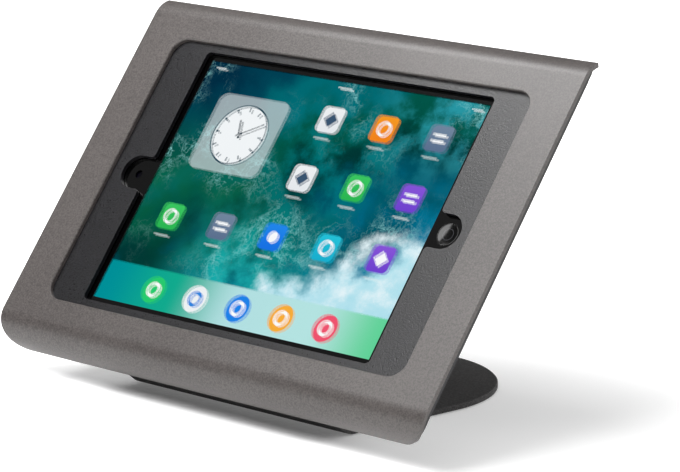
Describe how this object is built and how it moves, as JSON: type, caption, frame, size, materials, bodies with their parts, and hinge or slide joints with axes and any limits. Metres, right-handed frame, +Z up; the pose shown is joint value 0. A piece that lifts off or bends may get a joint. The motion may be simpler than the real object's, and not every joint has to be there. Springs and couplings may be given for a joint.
{
  "type": "tablet desk stand",
  "caption": "Steel desk stand that holds a tablet across at a lean, with a folded front frame, an inset plate round the screen and a flat foot with rounded rear corners.",
  "frame": {"origin": "on the desk, under the middle of the outer box", "axes": "+X along the screen's long side towards the home button, -Y towards the person who uses it, +Z up"},
  "size_m": [0.2472, 0.1444, 0.1522],
  "materials": {
    "frame_paint": "fine-textured warm grey powder coat",
    "black_plate": "satin black powder coat",
    "foot_paint": "satin black powder coat",
    "zinc": "bright zinc plated",
    "black_steel": "black oxide",
    "mat_rubber": "matt",
    "grommet_rubber": "matt",
    "foam": "closed cell foam",
    "device_aluminium": "fine blasted and anodised dark grey",
    "device_glass": "polished, black border",
    "display": "lit picture area",
    "cell": "wrapped pouch",
    "board": "solder masked",
    "camera": "polished",
    "lens_glass": "polished",
    "port_metal": "drawn shell",
    "button_black": "polished black"
  },
  "bodies": {
    "stand": {"front_frame": "frame_paint", "inlay_plate": "black_plate", "frame_studs": "zinc", "stud_nuts": "zinc", "foot": "foot_paint", "foot_mat": "mat_rubber", "foot_studs": "zinc", "rear_cover": "black_plate", "cable_grommet": "grommet_rubber", "cover_screws": "black_steel", "glass_strips": "foam", "back_pads": "foam", "tablet_locators": "foam", "tablet_case": "device_aluminium", "tablet_glass": "device_glass", "tablet_display": "display", "tablet_battery": "cell", "tablet_board": "board", "camera_module": "camera", "rear_camera_lens": "lens_glass", "charging_port": "port_metal", "home_switch": "board"},
    "home_button": {"home_button": "button_black"},
    "power_button": {"power_button": "device_aluminium"},
    "volume_up_button": {"volume_up_button": "device_aluminium"},
    "volume_down_button": {"volume_down_button": "device_aluminium"},
    "mute_switch": {"mute_switch": "device_aluminium"}
  },
  "joints": [
    {"name": "home_button_press", "type": "slide", "parent": "stand", "child": "home_button", "axis": [0, 0.7799, -0.6259], "range_m": [0, 0.0003], "stiffness_N_per_m": 4000},
    {"name": "power_button_press", "type": "slide", "parent": "stand", "child": "power_button", "axis": [1, 0, 0], "range_m": [0, 0.0004], "stiffness_N_per_m": 4000},
    {"name": "volume_up_press", "type": "slide", "parent": "stand", "child": "volume_up_button", "axis": [0, -0.6259, -0.7799], "range_m": [0, 0.0004], "stiffness_N_per_m": 4000},
    {"name": "volume_down_press", "type": "slide", "parent": "stand", "child": "volume_down_button", "axis": [0, -0.6259, -0.7799], "range_m": [0, 0.0004], "stiffness_N_per_m": 4000},
    {"name": "mute_slide", "type": "slide", "parent": "stand", "child": "mute_switch", "axis": [1, 0, 0], "range_m": [0, 0.0012]}
  ]
}
